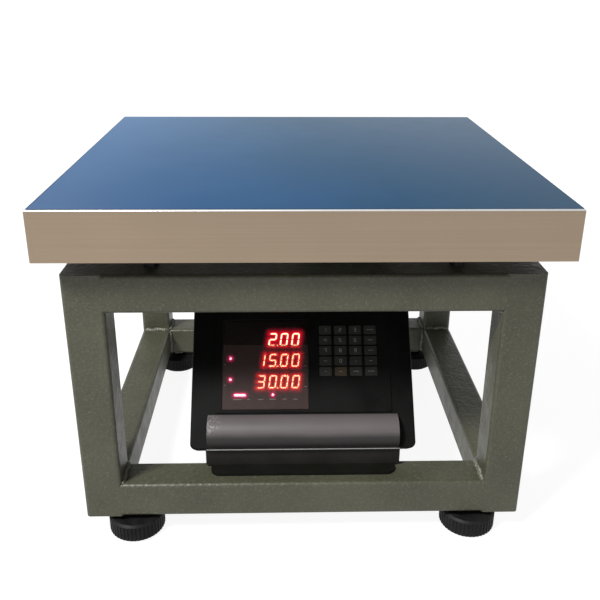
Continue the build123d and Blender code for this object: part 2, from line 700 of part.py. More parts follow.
def load_cell_socket():
    """Round socket for the load cell's plug, with five pins set back in it."""
    ring_r, ring_t, cavity_r, proud, depth, cavity_depth = 11.0, 2.0, 7.0, 6.0, 7.0, 11.0
    pin_circle_r, pin_r, pin_setback = 4.2, 0.8, 5.0
    with BuildPart() as built:
        with BuildSketch(REAR_WALL):
            with Locations(SOCKET_AT):
                Circle(ring_r)
        extrude(amount=ring_t)
        with BuildSketch(REAR_WALL.offset(-depth)):
            with Locations(SOCKET_AT):
                Circle(SOCKET_R - 0.1)
        extrude(amount=depth + proud)
        with BuildSketch(REAR_WALL.offset(proud)):
            with Locations(SOCKET_AT):
                Circle(cavity_r)
        extrude(amount=-cavity_depth, mode=Mode.SUBTRACT)
        with BuildSketch(REAR_WALL.offset(proud - cavity_depth)):
            with Locations(SOCKET_AT):
                with PolarLocations(pin_circle_r, 5):
                    Circle(pin_r)
        extrude(amount=cavity_depth - pin_setback)
    save(built, "load_cell_socket")


def rocker_housing():
    """Frame that snaps into the rear wall and carries the rocker's pivot."""
    flange, flange_t, depth, wall = 1.5, 1.5, 15.0, 1.2
    pivot_r = 1.3
    with BuildPart() as built:
        with BuildSketch(REAR_WALL):
            with Locations(ROCKER_AT):
                RectangleRounded(ROCKER_W + 2 * flange, ROCKER_H + 2 * flange, 1)
        extrude(amount=flange_t)
        with BuildSketch(REAR_WALL):
            with Locations(ROCKER_AT):
                Rectangle(ROCKER_W - 0.2, ROCKER_H - 0.2)
        extrude(amount=-depth)
        with BuildSketch(REAR_WALL.offset(flange_t)):
            with Locations(ROCKER_AT):
                Rectangle(ROCKER_W - 2 * wall, ROCKER_H - 2 * wall)
        extrude(amount=-depth, mode=Mode.SUBTRACT)
        across = Plane.YZ.offset(-ROCKER_AT[0] - ROCKER_W / 2 + wall / 2)
        with BuildSketch(across):
            with Locations((CASE_REAR_Y - ROCKER_PIVOT_DEPTH, SHELF_TOP + ROCKER_AT[1])):
                Circle(pivot_r)
        extrude(amount=ROCKER_W - wall)
    save(built, "rocker_housing")


def power_rocker():
    """Rocker key on the pivot, resting with its lower half pressed in."""
    width, half_height, face, bore_r = 11.8, 8.2, 4.8, 1.36
    back = -6.0
    swing = radians(ROCKER_THROW)
    side = Plane(
        origin=(-ROCKER_AT[0] - width / 2, CASE_REAR_Y - ROCKER_PIVOT_DEPTH, SHELF_TOP + ROCKER_AT[1]),
        x_dir=(0, cos(swing), -sin(swing)),
        z_dir=(1, 0, 0),
    )
    with BuildPart() as built:
        with BuildSketch(side):
            Polygon(
                (face, -half_height),
                (face - 1.1, 0),
                (face, half_height),
                (back + 4, half_height),
                (back, 2),
                (back, -2),
                (back + 4, -half_height),
                align=None,
            )
            Circle(bore_r, mode=Mode.SUBTRACT)
        extrude(amount=width)
    save(built, "power_rocker")


def indicator_shelf():
    """Steel shelf on the front lower rail, with a lip turned down along its rear edge."""
    corner, lip = 10.0, 14.0
    with BuildPart() as built:
        with BuildSketch(Plane.XY.offset(LOWER_RAIL_TOP)):
            with Locations((0, (SHELF_FRONT_Y + SHELF_REAR_Y) / 2)):
                RectangleRounded(SHELF_W, SHELF_REAR_Y - SHELF_FRONT_Y, corner)
        extrude(amount=SHELF_T)
        with BuildSketch(Plane.XY.offset(SHELF_TOP)):
            with Locations((0, SHELF_REAR_Y - SHELF_T / 2)):
                Rectangle(SHELF_W - 2 * corner, SHELF_T)
        extrude(amount=-lip - SHELF_T)
    save(built, "indicator_shelf")


legs()
cross_rail("front_upper_rail", -LEG_Y, UPPER_RAIL_Z, stop_holes=True)
cross_rail("rear_upper_rail", LEG_Y, UPPER_RAIL_Z, stop_holes=True)
cross_rail("front_lower_rail", -LEG_Y, LOWER_RAIL_Z, foot_holes=True)
cross_rail("rear_lower_rail", LEG_Y, LOWER_RAIL_Z, foot_holes=True)
side_rails()
cross_members()
load_cell_base_plate()
load_cell()
cell_bolts("base_bolts", -1, BASE_PLATE_Z, BASE_PLATE_T + PAD_H, 1)
cell_bolts("platform_bolts", 1, LOAD_FRAME_Z, TOP_PLATE_T + PAD_H, -1)
overload_stops()
load_frame_tubes()
load_frame_plate()
corner_pads()
pan_cover()
protective_film()
foot_nuts()
for end, foot_y in (("front", -LEG_Y), ("rear", LEG_Y)):
    for hand, foot_x in (("left", -FOOT_X), ("right", FOOT_X)):
        foot_sole(f"{end}_{hand}_foot_sole", foot_x, foot_y)
        foot_knob(f"{end}_{hand}_foot_knob", foot_x, foot_y)
front_shell()
base_shell()
front_roll()
display_window()
front_board()
digit_modules()
case_screws()
main_board()
battery()
power_inlet()
load_cell_socket()
rocker_housing()
power_rocker()
indicator_shelf()
for row, names in enumerate(KEY_ROWS):
    for column, legend in enumerate(names):
        key_x = KEYPAD_X + (column - (len(names) - 1) / 2) * KEY_PITCH_X
        key_s = KEYPAD_S + ((len(KEY_ROWS) - 1) / 2 - row) * KEY_PITCH_S
        key(f"key_{legend}", key_x, key_s)
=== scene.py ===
"""Looks of the platform scale: paint, steel, film, plastics, lit digits, weld beads and key legends.

Everything is in metres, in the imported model's own frame: +Z up, -Y towards the operator.
"""

import json
from math import cos, pi, radians, sin

import bmesh
import bpy
from mathutils import Matrix, Vector


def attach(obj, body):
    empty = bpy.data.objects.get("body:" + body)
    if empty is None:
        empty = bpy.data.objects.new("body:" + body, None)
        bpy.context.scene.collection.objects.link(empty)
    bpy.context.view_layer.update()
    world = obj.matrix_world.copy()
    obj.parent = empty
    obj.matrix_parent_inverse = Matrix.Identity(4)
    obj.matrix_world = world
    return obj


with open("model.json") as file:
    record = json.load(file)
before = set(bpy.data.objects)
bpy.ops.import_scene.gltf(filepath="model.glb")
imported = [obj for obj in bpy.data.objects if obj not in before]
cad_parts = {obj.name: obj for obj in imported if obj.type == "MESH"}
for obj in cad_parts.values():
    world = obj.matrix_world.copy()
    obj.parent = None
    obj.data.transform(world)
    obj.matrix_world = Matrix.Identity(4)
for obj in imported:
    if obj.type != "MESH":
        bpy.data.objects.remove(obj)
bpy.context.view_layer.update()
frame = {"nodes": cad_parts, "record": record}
NODES = frame["nodes"]
MM = 0.001


# --- The camera ---------------------------------------------------------------------------------

CAMERA_AT = Vector((-22.356, -849.308, 576.05)) * MM
CAMERA_YAW, CAMERA_PITCH, CAMERA_ROLL = -0.026, 0.365, 0.006
CAMERA_LENS, CAMERA_SHIFT_Y = 44.383, -0.0755


def add_camera():
    """The camera looks down and a little to the right."""
    right = Vector((cos(CAMERA_YAW), sin(CAMERA_YAW), 0))
    ahead = Vector((
        -sin(CAMERA_YAW) * cos(CAMERA_PITCH),
        cos(CAMERA_YAW) * cos(CAMERA_PITCH),
        -sin(CAMERA_PITCH),
    ))
    up = right.cross(ahead)
    rolled_right = right * cos(CAMERA_ROLL) + up * sin(CAMERA_ROLL)
    rolled_up = up * cos(CAMERA_ROLL) - right * sin(CAMERA_ROLL)
    turn = Matrix((rolled_right, rolled_up, -ahead)).transposed()
    lens = bpy.data.cameras.new("camera")
    lens.lens = CAMERA_LENS
    lens.sensor_width = 36.0
    lens.shift_y = CAMERA_SHIFT_Y
    lens.clip_start = 0.01
    camera = bpy.data.objects.new("camera", lens)
    camera.matrix_world = Matrix.Translation(CAMERA_AT) @ turn.to_4x4()
    bpy.context.scene.collection.objects.link(camera)
    bpy.context.scene.camera = camera


# --- Materials ----------------------------------------------------------------------------------


class Finish:
    """A material built on one Principled shader, with short ways to add texture to it."""

    def __init__(self, name, colour, rough, metal=0.0, **sockets):
        self.material = bpy.data.materials.new(name)
        self.material.use_nodes = True
        self.tree = self.material.node_tree
        self.shader = self.tree.nodes["Principled BSDF"]
        self.set("Base Color", (*colour, 1.0))
        self.set("Roughness", rough)
        self.set("Metallic", metal)
        for socket, value in sockets.items():
            self.set(socket.replace("_", " "), value)

    def set(self, socket, value):
        self.shader.inputs[socket].default_value = value

    def node(self, kind, **inputs):
        """A new node, with its inputs set from numbers or linked from other nodes' outputs."""
        made = self.tree.nodes.new(kind)
        for name, value in inputs.items():
            self.feed(made.inputs[name.replace("_", " ")], value)
        return made

    def feed(self, socket, value):
        if isinstance(value, bpy.types.NodeSocket):
            self.tree.links.new(value, socket)
        else:
            socket.default_value = value

    def place(self, stretch=(1, 1, 1)):
        """Object coordinates, scaled along each axis."""
        where = self.node("ShaderNodeTexCoord").outputs["Object"]
        return self.node("ShaderNodeMapping", Vector=where, Scale=stretch).outputs["Vector"]

    def along(self, axis):
        """One object coordinate, in metres."""
        where = self.node("ShaderNodeTexCoord").outputs["Object"]
        return self.node("ShaderNodeSeparateXYZ", Vector=where).outputs[axis]

    def noise(self, scale, detail=4.0, rough=0.55, stretch=(1, 1, 1)):
        """Cloudy noise from 0 to 1. Its scale is in cells per metre."""
        where = self.place(stretch)
        made = self.node("ShaderNodeTexNoise", Vector=where, Scale=scale, Detail=detail, Roughness=rough)
        return made.outputs["Fac"]

    def cells(self, scale, feature="SMOOTH_F1", stretch=(1, 1, 1)):
        """Distance to the middle of the nearest cell."""
        made = self.node("ShaderNodeTexVoronoi", Vector=self.place(stretch), Scale=scale)
        made.feature = feature
        return made.outputs["Distance"]

    def ramp(self, source, *stops):
        """Colours at places from 0 to 1, as (place, colour) pairs."""
        made = self.node("ShaderNodeValToRGB", Fac=source)
        points = made.color_ramp.elements
        while len(points) < len(stops):
            points.new(0.5)
        for point, (place, colour) in zip(points, stops):
            point.position = place
            point.color = (*colour, 1.0)
        return made.outputs["Color"]

    def span(self, source, low, high, new_low=0.0, new_high=1.0):
        """source, stretched from low..high to new_low..new_high and held there."""
        made = self.node("ShaderNodeMapRange", Value=source)
        for name, value in (("From Min", low), ("From Max", high), ("To Min", new_low), ("To Max", new_high)):
            made.inputs[name].default_value = value
        return made.outputs["Result"]

    def sum(self, first, second, operation="ADD"):
        """Two values, added or joined by another maths operation."""
        made = self.node("ShaderNodeMath")
        made.operation = operation
        self.feed(made.inputs[0], first)
        self.feed(made.inputs[1], second)
        return made.outputs["Value"]

    def mix(self, factor, first, second, blend="MIX"):
        """Two colours, mixed by a factor from 0 to 1."""
        made = self.tree.nodes.new("ShaderNodeMix")
        made.data_type = "RGBA"
        made.blend_type = blend
        self.feed(made.inputs[0], factor)
        self.feed(made.inputs[6], first if isinstance(first, bpy.types.NodeSocket) else (*first, 1.0))
        self.feed(made.inputs[7], second if isinstance(second, bpy.types.NodeSocket) else (*second, 1.0))
        return made.outputs[2]

    def colour(self, source):
        self.tree.links.new(source, self.shader.inputs["Base Color"])

    def roughness(self, source, low, high):
        """Lets the source move the roughness between low and high."""
        self.tree.links.new(self.span(source, 0.25, 0.75, low, high), self.shader.inputs["Roughness"])

    def bump(self, source, strength, distance):
        """Adds relief. A second call adds its relief to the first."""
        normal = self.shader.inputs["Normal"]
        before = normal.links[0].from_socket if normal.links else None
        made = self.node("ShaderNodeBump", Height=source, Strength=strength, Distance=distance)
        if before:
            self.tree.links.new(before, made.inputs["Normal"])
        self.tree.links.new(made.outputs["Normal"], normal)


def hammered_paint(name, dark, mid, light):
    """Hammer-finish enamel: shallow dimples, pale flecks and slow changes of tone."""
    paint = Finish(name, mid, 0.45, Specular_IOR_Level=0.35)
    flecks = paint.noise(420, 3.0, 0.75)
    specks = paint.noise(1100, 1.0, 0.5)
    tone = paint.noise(14, 3.0)
    body = paint.ramp(tone, (0.3, dark), (0.7, mid))
    flecked = paint.mix(paint.span(flecks, 0.52, 0.8, 0.0, 0.8), body, light)
    deep = tuple(value * 0.45 for value in dark)
    paint.colour(paint.mix(paint.span(specks, 0.62, 0.8, 0.0, 0.7), flecked, deep))
    paint.roughness(paint.noise(60, 4.0), 0.36, 0.52)
    paint.bump(paint.cells(210), 0.5, 0.0009)
    paint.bump(paint.noise(900, 2.0), 0.2, 0.0003)
    return paint.material


def brushed_metal(name, dark, light, rough, stretch, grain=0.12):
    """Metal with fine lines drawn along the axis that is stretched least."""
    metal = Finish(name, light, rough, metal=1.0)
    lines = metal.noise(1.0, 4.0, 0.6, stretch)
    metal.colour(metal.ramp(lines, (0.3, dark), (0.7, light)))
    metal.roughness(metal.sum(lines, metal.noise(9, 3.0), "MULTIPLY"), rough + 0.08, rough - 0.02)
    metal.bump(lines, grain, 0.0001)
    return metal.material


# Heights of the painted highlight band along the pan's rounded top edge.
HIGHLIGHT_BAND_LOW, HIGHLIGHT_BAND_HIGH = 0.37835, 0.3788


def pan_steel():
    """Stainless sheet with faint brushing along the skirt. Its warm tan colour is painted reflection of warm
    surroundings, and the near-white band along the rounded top edge is a painted highlight.
    """
    # Painted reflection: the warm tan of the sheet stands for warm surroundings mirrored in the steel.
    steel = Finish("pan_stainless", (0.37, 0.285, 0.205), 0.33, metal=1.0)
    lines = steel.noise(1.0, 4.0, 0.6, (3, 3, 500))
    clouds = steel.noise(7, 3.0)
    brushing = steel.sum(lines, clouds, "MULTIPLY")
    brushing_and_painted_reflection = steel.ramp(brushing, (0.1, (0.272, 0.212, 0.152)), (0.5, (0.317, 0.247, 0.180)))
    # Painted highlight: near-white along the rounded top edge.
    edge = steel.span(steel.along("Z"), HIGHLIGHT_BAND_LOW, HIGHLIGHT_BAND_HIGH)
    steel.colour(steel.mix(edge, brushing_and_painted_reflection, (0.95, 0.98, 0.99)))
    steel.roughness(clouds, 0.28, 0.36)
    steel.bump(lines, 0.05, 0.0001)
    return steel.material


FILM_HALF_X, FILM_HALF_Y, CUT_EDGE_IN, CUT_EDGE_FULL = 0.2482, 0.2232, 0.0011, 0.0007


def blue_film():
    """Glossy blue protective film over bright steel. Its change from bluer at the left to greyer at the right,
    and the way it changes from front to back, is painted reflection of the surroundings.
    """
    film = Finish("blue_film", (0.09, 0.2, 0.4), 0.14, metal=1.0)
    # Painted reflection: the colour runs from a lighter blue at the left to a dark grey-blue at the right, with
    # a second set of colours towards the back.
    across = film.span(film.along("X"), -0.25, 0.25)
    painted_reflection_drift = film.sum(across, film.span(film.noise(5, 2.0), 0.3, 0.7, -0.06, 0.06))
    near = film.ramp(
        painted_reflection_drift,
        (0.0, (0.165, 0.235, 0.400)),
        (0.35, (0.082, 0.152, 0.295)),
        (0.65, (0.060, 0.104, 0.172)),
        (1.0, (0.092, 0.113, 0.137)),
    )
    far = film.ramp(
        painted_reflection_drift,
        (0.0, (0.15, 0.29, 0.52)),
        (0.5, (0.080, 0.125, 0.170)),
        (1.0, (0.130, 0.140, 0.170)),
    )
    sheet = film.mix(film.span(film.along("Y"), -0.2, 0.22), near, far)
    near_cut = []
    for axis, half in (("X", FILM_HALF_X), ("Y", FILM_HALF_Y)):
        squared = film.sum(film.along(axis), film.along(axis), "MULTIPLY")
        near_cut.append(film.span(squared, (half - CUT_EDGE_IN) ** 2, (half - CUT_EDGE_FULL) ** 2))
    cut_edge = film.sum(*near_cut, "MAXIMUM")
    film.colour(film.mix(cut_edge, sheet, (0.012, 0.022, 0.060)))
    film.set("Specular Tint", (0.43, 0.52, 0.63, 1.0))
    film.roughness(film.noise(30, 5.0), 0.1, 0.2)
    film.bump(film.noise(22, 2.0, stretch=(1, 0.3, 1)), 0.08, 0.001)
    return film.material


def moulded_plastic(name, colour, rough, grain=900, relief=0.25, wear=0.02, shine=0.4):
    """Black or grey moulding with a fine spark-eroded grain and faint handling marks."""
    plastic = Finish(name, colour, rough, Specular_IOR_Level=shine)
    marks = plastic.noise(24, 5.0, 0.65)
    lighter = tuple(value + wear for value in colour)
    plastic.colour(plastic.ramp(marks, (0.35, colour), (0.85, lighter)))
    plastic.roughness(marks, rough - 0.06, rough + 0.1)
    plastic.bump(plastic.noise(grain, 3.0, 0.7), relief, 0.0002)
    return plastic.material


# Heights between which the strip's painted shade turns into its painted highlight.
ROLL_SHADE_LOW, ROLL_SHADE_HIGH = 0.094, 0.122
SPECKS_FROM, SPECKS_FULL = -0.088, -0.103


def roll_plastic():
    """Satin grey strip with painted light and shade: pale on its upper side as a painted highlight, dark at its
    lower edge as painted shade. Lighter specks lie on the upper side of its left end.
    """
    strip = Finish("roll_plastic", (0.12, 0.105, 0.105), 0.42, Specular_IOR_Level=0.3)
    wander = strip.span(strip.noise(14, 3.0), 0.0, 1.0, 0.42, 0.58)
    # Painted light and shade by height: dark at the lower edge, pale on the upper side.
    height = strip.sum(strip.span(strip.along("Z"), ROLL_SHADE_LOW, ROLL_SHADE_HIGH), wander)
    painted_light_and_shade = strip.ramp(
        strip.span(height, 0.5, 1.5),
        (0.26, (0.006, 0.005, 0.005)),
        (0.50, (0.014, 0.012, 0.012)),
        (0.70, (0.058, 0.051, 0.051)),
        (1.0, (0.066, 0.058, 0.058)),
    )
    # Lighter specks at the left end, on the upper side only.
    speck_noise = strip.span(strip.noise(420, 4.0, 0.75), 0.5, 0.62)
    left_end = strip.span(strip.along("X"), SPECKS_FROM, SPECKS_FULL)
    left_end_specks = strip.sum(strip.sum(speck_noise, left_end, "MULTIPLY"), strip.span(height, 1.1, 1.35), "MULTIPLY")
    strip.colour(strip.mix(left_end_specks, painted_light_and_shade, (0.21, 0.20, 0.20)))
    strip.roughness(strip.noise(40, 5.0), 0.36, 0.55)
    strip.bump(strip.noise(800, 3.0, 0.7), 0.25, 0.0002)
    return strip.material


def rubber(name, colour, rough=0.75):
    """Matt rubber with a little pale dust."""
    soft = Finish(name, colour, rough, Specular_IOR_Level=0.2)
    dust = soft.noise(70, 6.0, 0.7)
    soft.colour(soft.ramp(dust, (0.4, colour), (0.9, tuple(value * 2.2 + 0.004 for value in colour))))
    soft.roughness(dust, rough - 0.05, rough + 0.1)
    soft.bump(soft.noise(1200, 2.0), 0.3, 0.0002)
    return soft.material


def circuit_board():
    """Green lacquered board with a pattern of tracks."""
    board = Finish("circuit_board", (0.015, 0.1, 0.045), 0.35, Coat_Weight=0.3)
    tracks = board.cells(260, "F1", (1, 1, 0.3))
    board.colour(board.ramp(tracks, (0.15, (0.03, 0.17, 0.08)), (0.2, (0.012, 0.09, 0.04))))
    board.bump(tracks, 0.2, 0.0002)
    return board.material


def smoked_window():
    """Dark tinted acrylic that the lit digits shine through."""
    window = Finish("smoked_window", (0.012, 0.008, 0.008), 0.08, Specular_IOR_Level=0.5, Alpha=0.35)
    window.roughness(window.noise(45, 5.0), 0.05, 0.16)
    window.bump(window.noise(12, 2.0), 0.05, 0.0005)
    return window.material


def clear_film():
    """Thin slightly milky film left on the display window."""
    film = Finish("window_film", (0.040, 0.025, 0.023), 0.35, Specular_IOR_Level=0.15, Alpha=0.5)
    film.roughness(film.noise(60, 5.0), 0.3, 0.45)
    return film.material


STUD_FROM, THREAD_HALF_PITCH = 0.0223, 0.000875


def knob(name):
    """Black nylon below, and a zinc-plated thread where the stud comes out of the top."""
    finish = Finish(name, (0.005, 0.005, 0.005), 0.5, Specular_IOR_Level=0.1)
    height = finish.along("Z")
    is_stud = finish.span(height, STUD_FROM, STUD_FROM + 0.0001)
    marks = finish.noise(60, 5.0, 0.65)
    nylon = finish.ramp(marks, (0.35, (0.0035, 0.0035, 0.0038)), (0.85, (0.012, 0.0115, 0.011)))
    zinc = finish.ramp(finish.noise(300, 3.0), (0.3, (0.42, 0.42, 0.40)), (0.7, (0.62, 0.61, 0.58)))
    finish.colour(finish.mix(is_stud, nylon, zinc))
    finish.feed(finish.shader.inputs["Metallic"], is_stud)
    finish.roughness(marks, 0.45, 0.6)
    thread = finish.node("ShaderNodeMath")
    thread.operation = "PINGPONG"
    finish.feed(thread.inputs[0], height)
    thread.inputs[1].default_value = THREAD_HALF_PITCH
    finish.bump(finish.sum(thread.outputs["Value"], is_stud, "MULTIPLY"), 1.0, 1.0)
    finish.bump(finish.noise(1200, 2.0), 0.15, 0.0002)
    return finish.material


def glow(name, colour, strength):
    """A lit part, brightest in its own colour and slightly uneven."""
    lamp = Finish(name, colour, 0.4)
    lamp.set("Emission Color", (*colour, 1.0))
    uneven = lamp.span(lamp.noise(700, 2.0), 0.3, 0.7, strength * 0.9, strength * 1.1)
    lamp.tree.links.new(uneven, lamp.shader.inputs["Emission Strength"])
    return lamp.material


def diffuser():
    """Dark sheet behind the window with a painted glow: red round the lit bars and pink round the lamps, fading
    outwards.
    """
    sheet = Finish("display_diffuser", (0.006, 0.003, 0.003), 0.5, Specular_IOR_Level=0.2)
    near_bar = sheet.node("ShaderNodeAttribute")
    near_bar.attribute_name = "near_bar"
    near_lamp = sheet.node("ShaderNodeAttribute")
    near_lamp.attribute_name = "near_lamp"
    # Painted glow: red round the lit bars, then pink round the lamps.
    red = sheet.ramp(
        near_bar.outputs["Fac"],
        (0.0, (0, 0, 0)),
        (0.2, (0.014, 0.0003, 0.001)),
        (0.4, (0.07, 0.0006, 0.003)),
        (0.65, (0.24, 0.001, 0.008)),
        (0.87, (0.8, 0.006, 0.012)),
    )
    pink = sheet.ramp(
        near_lamp.outputs["Fac"],
        (0.0, (0, 0, 0)),
        (0.25, (0.03, 0.0, 0.005)),
        (0.5, (0.16, 0.001, 0.028)),
        (0.78, (0.7, 0.014, 0.11)),
    )
    both = sheet.mix(1.0, red, pink, "ADD")
    grain = sheet.mix(sheet.span(sheet.noise(900, 2.0), 0.3, 0.7, 0.0, 0.25), both, (0.0, 0.0, 0.0))
    sheet.tree.links.new(grain, sheet.shader.inputs["Emission Color"])
    sheet.set("Emission Strength", 9.0)
    return sheet.material


PAINT = hammered_paint("frame_paint", (0.031, 0.031, 0.019), (0.042, 0.042, 0.026), (0.088, 0.088, 0.064))
STAINLESS = pan_steel()
FILM = blue_film()
CELL = brushed_metal("cell_aluminium", (0.62, 0.63, 0.65), (0.8, 0.81, 0.83), 0.35, (20, 600, 600))
ZINC = brushed_metal("zinc_steel", (0.45, 0.45, 0.43), (0.66, 0.65, 0.62), 0.38, (300, 300, 300), 0.3)
RUBBER = rubber("black_rubber", (0.014, 0.014, 0.014))
# Near-black shelf under the indicator: its darkness is painted shadow, standing for the indicator's shadow on
# the front rail.
SHELF_PAINTED_SHADOW = moulded_plastic("shelf_paint", (0.003, 0.003, 0.0022), 0.55, 400, 0.3, wear=0.003, shine=0.08)
HOUSING = moulded_plastic("indicator_plastic", (0.0014, 0.0013, 0.0012), 0.5, wear=0.003, shine=0.06)
ROLL = roll_plastic()
WINDOW = smoked_window()
BOARD = circuit_board()
DISPLAY = moulded_plastic("display_red", (0.03, 0.003, 0.003), 0.4, 500, 0.1, 0.004)
BATTERY = moulded_plastic("battery_case", (0.03, 0.03, 0.035), 0.5)
SOCKET = moulded_plastic("socket_plastic", (0.012, 0.012, 0.012), 0.45)
KNOB = knob("knob_plastic")
KEY = rubber("key_rubber", (0.0095, 0.0098, 0.0088), 0.65)
KEY_AMBER = rubber("key_rubber_amber", (0.019, 0.0135, 0.006), 0.65)
LEGEND = moulded_plastic("legend_ink", (0.16, 0.165, 0.16), 0.6, 600, 0.1)
MARK = moulded_plastic("mark_ink", (0.06, 0.045, 0.045), 0.6, 600, 0.1)
# A light grey strip that is a painted highlight along the indicator moulding's lower edge.
EDGE_HIGHLIGHT_GREY = moulded_plastic("edge_highlight_grey", (0.12, 0.12, 0.115), 0.3, 500, 0.1)
# Weld beads: hammer-paint flecks made so pale that they are partly painted glints on the ripples.
WELD_PAINT_WITH_GLINTS = hammered_paint("weld_paint", (0.05, 0.051, 0.036), (0.095, 0.096, 0.075), (0.5, 0.5, 0.44))
WINDOW_FILM = clear_film()
BAR_EDGE = glow("display_bar_edge", (1.0, 0.05, 0.02), 9.0)
BAR_CORE = glow("display_bar_core", (1.0, 0.72, 0.42), 12.0)
BARE_BAR_EDGE = glow("bare_bar_edge", (1.0, 0.05, 0.02), 4.5)
BARE_BAR_CORE = glow("bare_bar_core", (1.0, 0.72, 0.42), 6.0)
LAMP_EDGE = glow("lamp_edge", (1.0, 0.03, 0.16), 16.0)
LAMP_CORE = glow("lamp_core", (1.0, 0.72, 0.76), 20.0)
DIFFUSER = diffuser()
BASE_HOUSING = moulded_plastic("indicator_base_plastic", (0.0085, 0.0078, 0.0072), 0.5, wear=0.006, shine=0.15)
# Stop screws: darkened to painted shade, so that they sink into the shade under the pan.
STOP_STEEL_DARKENED = brushed_metal("black_steel", (0.03, 0.03, 0.03), (0.06, 0.06, 0.06), 0.5, (300, 300, 300), 0.3)

FINISHES = {
    "frame_paint": PAINT, "cell_aluminium": CELL, "zinc_steel": ZINC, "black_rubber": RUBBER,
    "pan_stainless": STAINLESS, "blue_film": FILM, "shelf_paint": SHELF_PAINTED_SHADOW, "indicator_plastic": HOUSING,
    "roll_plastic": ROLL, "smoked_window": WINDOW, "circuit_board": BOARD, "display_red": DISPLAY,
    "battery_case": BATTERY, "socket_plastic": SOCKET, "knob_plastic": KNOB, "key_rubber": KEY,
    "key_rubber_amber": KEY_AMBER,
}


# Two nodes look unlike the rest of their slot: the stop screws, darkened so that they sink into the shade under
# the pan as painted shade, and the greyer rear moulding.
OWN_FINISHES = {"overload_stops": STOP_STEEL_DARKENED, "indicator_base_shell": BASE_HOUSING}


def finish_cad_nodes():
    """Gives each CAD node the finish that its material slot names, or one of its own."""
    for entry in frame["record"]["subparts"]:
        finish = OWN_FINISHES.get(entry["node"], FINISHES[entry["material_slot"]])
        for slot in NODES[entry["node"]].material_slots:
            slot.material = finish


# --- Mesh helpers -------------------------------------------------------------------------------


def piece(name, mesh, material, body="base", smooth=False):
    """A new visible piece that rides on a body."""
    made = bpy.data.objects.new(name, mesh)
    bpy.context.scene.collection.objects.link(made)
    mesh.materials.append(material)
    if smooth:
        for face in mesh.polygons:
            face.use_smooth = True
    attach(made, body)
    return made


def to_mesh(name, shape):
    """The shape as a mesh with its faces turned outwards. It frees the shape."""
    mesh = bpy.data.meshes.new(name)
    bmesh.ops.recalc_face_normals(shape, faces=shape.faces)
    shape.to_mesh(mesh)
    shape.free()
    return mesh


# The panel's own axes: across, up the slope, and out towards the operator.
PANEL_TILT = radians(52.0)
PANEL_ORIGIN = Vector((0, -175.0, 92.5)) * MM
PANEL_UP = Vector((0, cos(PANEL_TILT), sin(PANEL_TILT)))
PANEL_OUT = Vector((0, -sin(PANEL_TILT), cos(PANEL_TILT)))


def on_panel(across, up, out):
    """A point given in millimetres in the panel's axes."""
    return PANEL_ORIGIN + Vector((across, 0, 0)) * MM + PANEL_UP * up * MM + PANEL_OUT * out * MM


def slab(shape, outline, low, high):
    """Adds a flat slab with this outline, in panel millimetres, between two heights."""
    bottom = [shape.verts.new(on_panel(x, s, low)) for x, s in outline]
    top = [shape.verts.new(on_panel(x, s, high)) for x, s in outline]
    count = len(outline)
    faces = [shape.faces.new(top), shape.faces.new(bottom[::-1])]
    for index in range(count):
        after = (index + 1) % count
        faces.append(shape.faces.new((bottom[index], bottom[after], top[after], top[index])))
    return faces


# --- Lit display --------------------------------------------------------------------------------

DIGIT_W, DIGIT_H, DIGIT_PITCH, DIGIT_LEAN = 7.0, 13.2, 12.9, 0.14
BAR_T, CORE_T, BAR_GAP = 2.3, 1.3, 0.3
BAR_Z, BAR_DEPTH, CORE_LIFT = -3.6, 0.3, 0.15
DISPLAY_RIGHT = -3.9
POINT_X, POINT_DROP = DISPLAY_RIGHT - 2 * DIGIT_PITCH + 1.8, 0.1
POINT_R, POINT_CORE_R = 1.15, 0.8
READINGS = (("200", 120.9), ("1500", 97.3), ("3000", 73.2))
LIT_BARS = {
    "0": "abcdef", "1": "bc", "2": "abged", "3": "abgcd", "5": "afgcd",
}


def bar_ends(name):
    """The two ends of one bar of an upright digit, with the digit's centre at (0, 0)."""
    half_w, half_h = DIGIT_W / 2, DIGIT_H / 2
    corners = {
        "a": ((-half_w, half_h), (half_w, half_h)),
        "g": ((-half_w, 0), (half_w, 0)),
        "d": ((-half_w, -half_h), (half_w, -half_h)),
        "f": ((-half_w, 0), (-half_w, half_h)),
        "b": ((half_w, 0), (half_w, half_h)),
        "e": ((-half_w, -half_h), (-half_w, 0)),
        "c": ((half_w, -half_h), (half_w, 0)),
    }
    return [Vector(point) for point in corners[name]]


def bar_outline(name, thickness):
    """Six-cornered outline of one bar."""
    start, end = bar_ends(name)
    half_t = thickness / 2
    ahead = (end - start).normalized()
    side = Vector((-ahead.y, ahead.x))
    start += ahead * BAR_GAP
    end -= ahead * BAR_GAP
    return [
        start,
        start + (ahead + side) * half_t,
        end - (ahead - side) * half_t,
        end,
        end - (ahead + side) * half_t,
        start + (ahead - side) * half_t,
    ]


def lean(point, centre_x, centre_s):
    """A point of an upright digit, slanted and moved to the digit's place."""
    return Vector((centre_x + point.x + DIGIT_LEAN * point.y, centre_s + point.y))


def dot_outline(centre_x, centre_s, radius, sides=14):
    """A round outline."""
    return [
        (centre_x + radius * cos(2 * pi * step / sides), centre_s + radius * sin(2 * pi * step / sides))
        for step in range(sides)
    ]


def digit_places():
    """(character, centre across, centre up) of every lit digit."""
    for text, centre_s in READINGS:
        for place, character in enumerate(reversed(text)):
            yield character, DISPLAY_RIGHT - DIGIT_W / 2 - place * DIGIT_PITCH, centre_s


def point_places():
    """The decimal point of every reading, left of its last two digits, with the middle of its row."""
    return [(POINT_X, centre_s - DIGIT_H / 2 - POINT_DROP, centre_s) for _, centre_s in READINGS]


